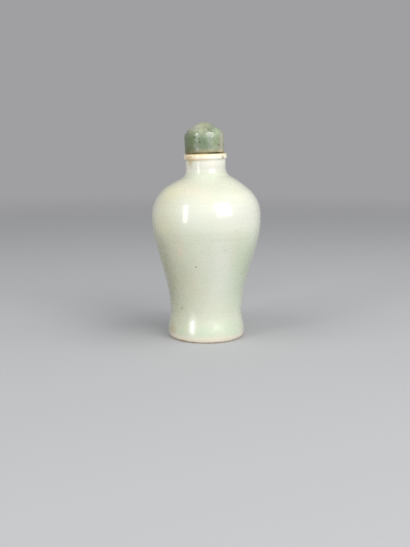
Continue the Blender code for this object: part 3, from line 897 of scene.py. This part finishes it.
CAP_ZONES = {
    "olive_shoulder_left": ((190, 131), 0.0020, 0.8, (1.4, 2.0, 0.9), 0.6, srgb(162, 164, 142), 0.85),
    "pale_shoulder": ((200.5, 131.5), 0.0023, 0.8, (1.3, 2.0, 0.9), 0.6, srgb(176, 182, 156), 0.60),
    "yellow_dome": ((203, 124.5), 0.0030, 0.7, (1.2, 1.2, 0.9), 0.5, srgb(162, 164, 132), 0.85),
    "dark_side": ((190, 143), 0.0024, 0.8, (1.0, 2.0, 1.7), 0.6, srgb(92, 108, 66), 0.92),
    "dark_edge": ((186, 140), 0.0014, 0.8, (0.8, 2.0, 2.6), 0.5, srgb(98, 108, 90), 0.70),
    "teal_front": ((205, 143), 0.0022, 0.8, (1.2, 2.0, 1.1), 0.6, srgb(100, 124, 96), 0.85),
    "grey_dome_left": ((195, 127.5), 0.0014, 0.8, (1.2, 2.0, 0.8), 0.5, srgb(172, 174, 150), 0.70),
    "dark_dome_right": ((212, 127.5), 0.0015, 0.8, (1.4, 2.0, 0.8), 0.5, srgb(124, 138, 102), 0.75),
    # A grey patch of the stone, painted darker as shade to damp the right highlight's lower tail.
    "grey_vein_and_shade": ((211, 138.5), 0.0012, 0.7, (0.9, 2.0, 1.9), 0.7, srgb(98, 106, 88), 0.80),
    "light_shoulder_right": ((218, 133), 0.0017, 0.8, (1.0, 2.0, 1.3), 0.5, srgb(160, 176, 142), 0.90),
    "green_right": ((216, 141), 0.0017, 0.8, (1.0, 2.0, 1.1), 0.5, srgb(132, 150, 112), 0.80),
    "beige_side_right": ((222, 141), 0.0014, 0.8, (0.8, 2.0, 3.4), 0.4, srgb(172, 168, 150), 0.90),
    # A grey patch of the stone, painted darker as shade where the left light glints on the base edge.
    "grey_low_left_and_shade": ((197, 149), 0.0014, 0.7, (1.2, 2.0, 1.1), 0.6, srgb(106, 112, 92), 0.80),
    "tan_low": ((208.5, 151.3), 0.0011, 0.7, (3.2, 2.0, 0.5), 0.5, srgb(190, 172, 128), 0.85),
    "green_low_right": ((216, 147), 0.0015, 0.8, (1.2, 2.0, 0.9), 0.5, srgb(150, 154, 126), 0.70),
    "grey_front_low": ((204, 148), 0.0014, 0.8, (1.5, 2.0, 0.9), 0.5, srgb(118, 130, 104), 0.70),
    "olive_low_left": ((188, 151), 0.0018, 0.7, (1.4, 2.0, 0.8), 0.6, srgb(92, 90, 52), 0.85),
}

CAP_FLAWS = {
    "beige_base_right": ((221.5, 151.0), 0.0009, 0.7, (1.5, 2.0, 0.7), 0.4, srgb(190, 178, 148), 0.75),
    "pit_by_shoulder": ((194.7, 137.3), 0.00042, 0.5, (1.2, 1.5, 0.8), 0.8, srgb(58, 62, 40), 0.80),
    "pit_below_it": ((198.9, 139.0), 0.00036, 0.5, (1.0, 1.5, 0.8), 0.8, srgb(70, 76, 52), 0.70),
    "front_pit": ((199.5, 142.1), 0.00034, 0.5, (0.9, 1.5, 1.0), 0.6, srgb(50, 60, 36), 0.85),
    "side_pit": ((219.2, 144.6), 0.00048, 0.5, (1.2, 1.5, 0.8), 0.6, srgb(98, 90, 68), 0.75),
    "dome_pit": ((208.8, 129.4), 0.00050, 0.5, (1.4, 1.5, 0.6), 0.6, srgb(96, 100, 74), 0.75),
}


def jade():
    """Polished mottled stone: dark green, blue green and grey white, brown at the lower edge; two grey
    patches carry painted shade.
    """
    material, tree, shader = new_material("mottled_jade")
    colour = srgb(128, 140, 112)
    clouds = effect(tree, CLOUDS, size=0.0032, low=0.42, high=0.62, detail=3.0, seed=2.0)
    colour = over(tree, clouds, colour, srgb(102, 118, 86), 0.7)
    clouds = effect(tree, CLOUDS, size=0.0026, low=0.52, high=0.66, detail=3.0, seed=6.0)
    colour = over(tree, clouds, colour, srgb(160, 166, 146), 0.7)
    colour = lay_marks(tree, "stopper_cap", CAP_ZONES, colour)
    small = effect(tree, CLOUDS, size=0.0012, low=0.40, high=0.62, detail=4.0, seed=9.0)
    colour = over(tree, small, colour, srgb(96, 110, 82), 0.30)
    pale = effect(tree, CLOUDS, size=0.0009, low=0.55, high=0.70, detail=4.0, seed=12.0)
    colour = over(tree, pale, colour, srgb(170, 176, 150), 0.30)
    base = effect(tree, BAND, **BANDS["brown_base"])
    colour = over(tree, base, colour, srgb(110, 100, 66), 0.55)
    colour = lay_marks(tree, "stopper_cap", CAP_FLAWS, colour)
    flecks = effect(tree, SPECKS, size=0.0011, share=0.25, radius=0.16, seed=3.0)
    colour = over(tree, flecks, colour, srgb(66, 74, 50), 0.6)
    fine = effect(tree, CLOUDS, size=0.0008, low=0.3, high=0.7, detail=3.0, seed=4.0)
    height = maths(tree, "SUBTRACT", fine, flecks)
    polish = effect(tree, BAND, **BANDS["polished_top"])
    worn = over_value(tree, base, over_value(tree, small, 0.30, 0.40), 0.60)
    rough = over_value(tree, polish, worn, over_value(tree, small, 0.03, 0.06))
    finish_material(tree, shader, colour, rough, height, JADE_RELIEF)
    put(tree, shader.inputs["Coat Weight"], polish)
    shader.inputs["Coat Roughness"].default_value = 0.03
    shader.inputs["Coat IOR"].default_value = 1.7
    shader.inputs["IOR"].default_value = 1.66
    shader.inputs["Specular IOR Level"].default_value = 0.75
    shader.inputs["Subsurface Weight"].default_value = 0.25
    shader.inputs["Subsurface Radius"].default_value = (0.9, 1.0, 0.7)
    shader.inputs["Subsurface Scale"].default_value = 0.0012
    return material


# Where the seam under the cap shows a dark slit: painted shade, laid near black on the cement
SHADED_SLIT_PLACE = (0.0030, -0.0064, CAP_SEAT_Z)


def cork():
    """Matt brown cork with dark pores, the old brown cement on its top, and painted shade where the seam
    shows a slit.
    """
    material, tree, shader = new_material("matt_cork")
    clouds = effect(tree, CLOUDS, size=0.0008, low=0.35, high=0.65, detail=3.0, seed=2.0)
    colour = over(tree, clouds, srgb(150, 118, 78), srgb(108, 78, 46))
    pores = effect(tree, SPECKS, size=0.0007, share=0.4, radius=0.35, seed=1.0)
    colour = over(tree, pores, colour, srgb(60, 40, 24), 0.8)
    cement = effect(tree, BAND, **BANDS["cement"])
    colour = over(tree, cement, colour, over(tree, clouds, srgb(168, 156, 112), srgb(126, 112, 70)))
    # Painted shade: the dark slit in the seam.
    slit_shade = effect(tree, SPOT, centre=SHADED_SLIT_PLACE, radius=0.0027, edge=0.3, waver=0.3, waver_size=0.001)
    colour = over(tree, slit_shade, colour, srgb(40, 34, 20))
    height = maths(tree, "SUBTRACT", clouds, pores)
    finish_material(tree, shader, colour, 0.85, height, CORK_RELIEF)
    return material


# Pieces

form = turned_form()

bottle = turn(
    "bottle_porcelain",
    [(bottle_underside(), 0, 1), (bottle_outside(), 0, 0), (bottle_inside(), 1, 0)],
    form,
    sides=BOTTLE_SIDES,
    ridge_depth=0.00003,
    ridge_spacing=0.0018,
    lump_depth=0.00012,
    lump_size=0.011,
    seed=3.0,
    material=celadon_glaze(),
)
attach(bottle, "root")
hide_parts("bottle")

cap = turn(
    "stopper_cap_jade",
    [(cap_outline(), 0, 0)],
    form,
    sides=CAP_SIDES,
    side_offset=CAP_OFFSET,
    lump_depth=0.0004,
    lump_size=0.0035,
    lump_bias=0.3,
    level_base=CAP_SEAT_Z,
    level_rise=0.002,
    seed=5.0,
    material=jade(),
)
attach(cap, "root")
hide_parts("stopper_cap")

cork_plug = turn(
    "stopper_cork_plug",
    [(cork_outline(), 0, 0)],
    form,
    sides=CORK_SIDES,
    lump_depth=0.00008,
    lump_size=0.001,
    level_base=CAP_SEAT_Z - SEAT_GAP - CORK_LENGTH,
    level_rise=0.0005,
    seed=7.0,
    material=cork(),
)
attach(cork_plug, "root")
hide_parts("stopper_cork")


# Floor, light and camera

FLOOR_SIZE = 1.6
FLOOR_SOLID = 0.16
BACKDROP_GREY = (0.35, 0.35, 0.36, 1.0)
LIGHT_TARGET = Vector((0.0, 0.0, 0.040))


def pale_floor():
    """A plain floor that fades out into the backdrop's grey, so that no far edge shows."""
    floor_mesh = bpy.data.meshes.new("floor")
    shape = bmesh.new()
    bmesh.ops.create_circle(shape, cap_ends=True, segments=96, radius=FLOOR_SIZE / 2)
    shape.to_mesh(floor_mesh)
    shape.free()
    material, tree, shader = new_material("pale_floor")
    shader.inputs["Base Color"].default_value = srgb(176, 177, 178)
    shader.inputs["Roughness"].default_value = 0.8
    shader.inputs["Specular IOR Level"].default_value = 0.2
    where = add(tree, "ShaderNodeTexCoord").outputs["Object"]
    away = add(tree, "ShaderNodeVectorMath", {0: where}, operation="LENGTH").outputs["Value"]
    put(tree, shader.inputs["Alpha"], ease(tree, away, FLOOR_SOLID, FLOOR_SIZE / 2, 1.0, 0.0))
    floor_mesh.materials.append(material)
    made = bpy.data.objects.new("floor", floor_mesh)
    bpy.context.scene.collection.objects.link(made)
    return made


def soft_light(name, azimuth, elevation, distance, width, height, power, roll=0.0, mirrored=True):
    """A rectangular soft light; azimuth 0 is towards the camera, and positive is to the right.

    The roll turns it about its own direction. A fill that isn't mirrored leaves no highlight.
    """
    lamp = bpy.data.lights.new(name, "AREA")
    lamp.shape = "RECTANGLE"
    lamp.size = width
    lamp.size_y = height
    lamp.energy = power
    made = bpy.data.objects.new(name, lamp)
    bpy.context.scene.collection.objects.link(made)
    turned, raised = math.radians(azimuth), math.radians(elevation)
    level = math.cos(raised)
    direction = Vector((math.sin(turned) * level, -math.cos(turned) * level, math.sin(raised)))
    made.location = LIGHT_TARGET + direction * distance
    facing = direction.to_track_quat("Z", "Y") @ Quaternion((0.0, 0.0, 1.0), math.radians(roll))
    made.rotation_euler = facing.to_euler()
    made.visible_glossy = mirrored


pale_floor()

strip = {"azimuth": -45, "elevation": 16, "distance": 0.60, "width": 0.10, "height": 0.46, "power": 0.8}
soft_light("right_softbox", azimuth=38, elevation=26, distance=0.60, width=0.36, height=0.42, power=2.1)
soft_light("left_strip", roll=8, **strip)

# Fills: (azimuth, elevation, distance, side, power)
FILLS = {
    "front_fill": (0, 20, 0.90, 0.60, 2.3),
    "left_high_fill": (-60, 50, 0.70, 0.40, 1.3),
    "right_high_fill": (70, 55, 0.70, 0.40, 1.7),
}
for name, (azimuth, elevation, distance, side, power) in FILLS.items():
    soft_light(name, azimuth, elevation, distance, side, side, power, mirrored=False)

world = bpy.data.worlds.new("soft_backdrop")
bpy.context.scene.world = world
world.use_nodes = True
backdrop = world.node_tree.nodes["Background"].inputs
backdrop["Color"].default_value = BACKDROP_GREY
backdrop["Strength"].default_value = 1.0

camera_data = bpy.data.cameras.new("camera")
camera_data.sensor_width = SENSOR
camera_data.lens = FOCAL_PIXELS / IMAGE_HEIGHT * SENSOR
camera = bpy.data.objects.new("camera", camera_data)
bpy.context.scene.collection.objects.link(camera)
camera.location = CAMERA_PLACE
camera.rotation_euler = (math.radians(90) - CAMERA_PITCH, 0.0, 0.0)
bpy.context.scene.camera = camera
bpy.context.scene.view_settings.view_transform = "Standard"
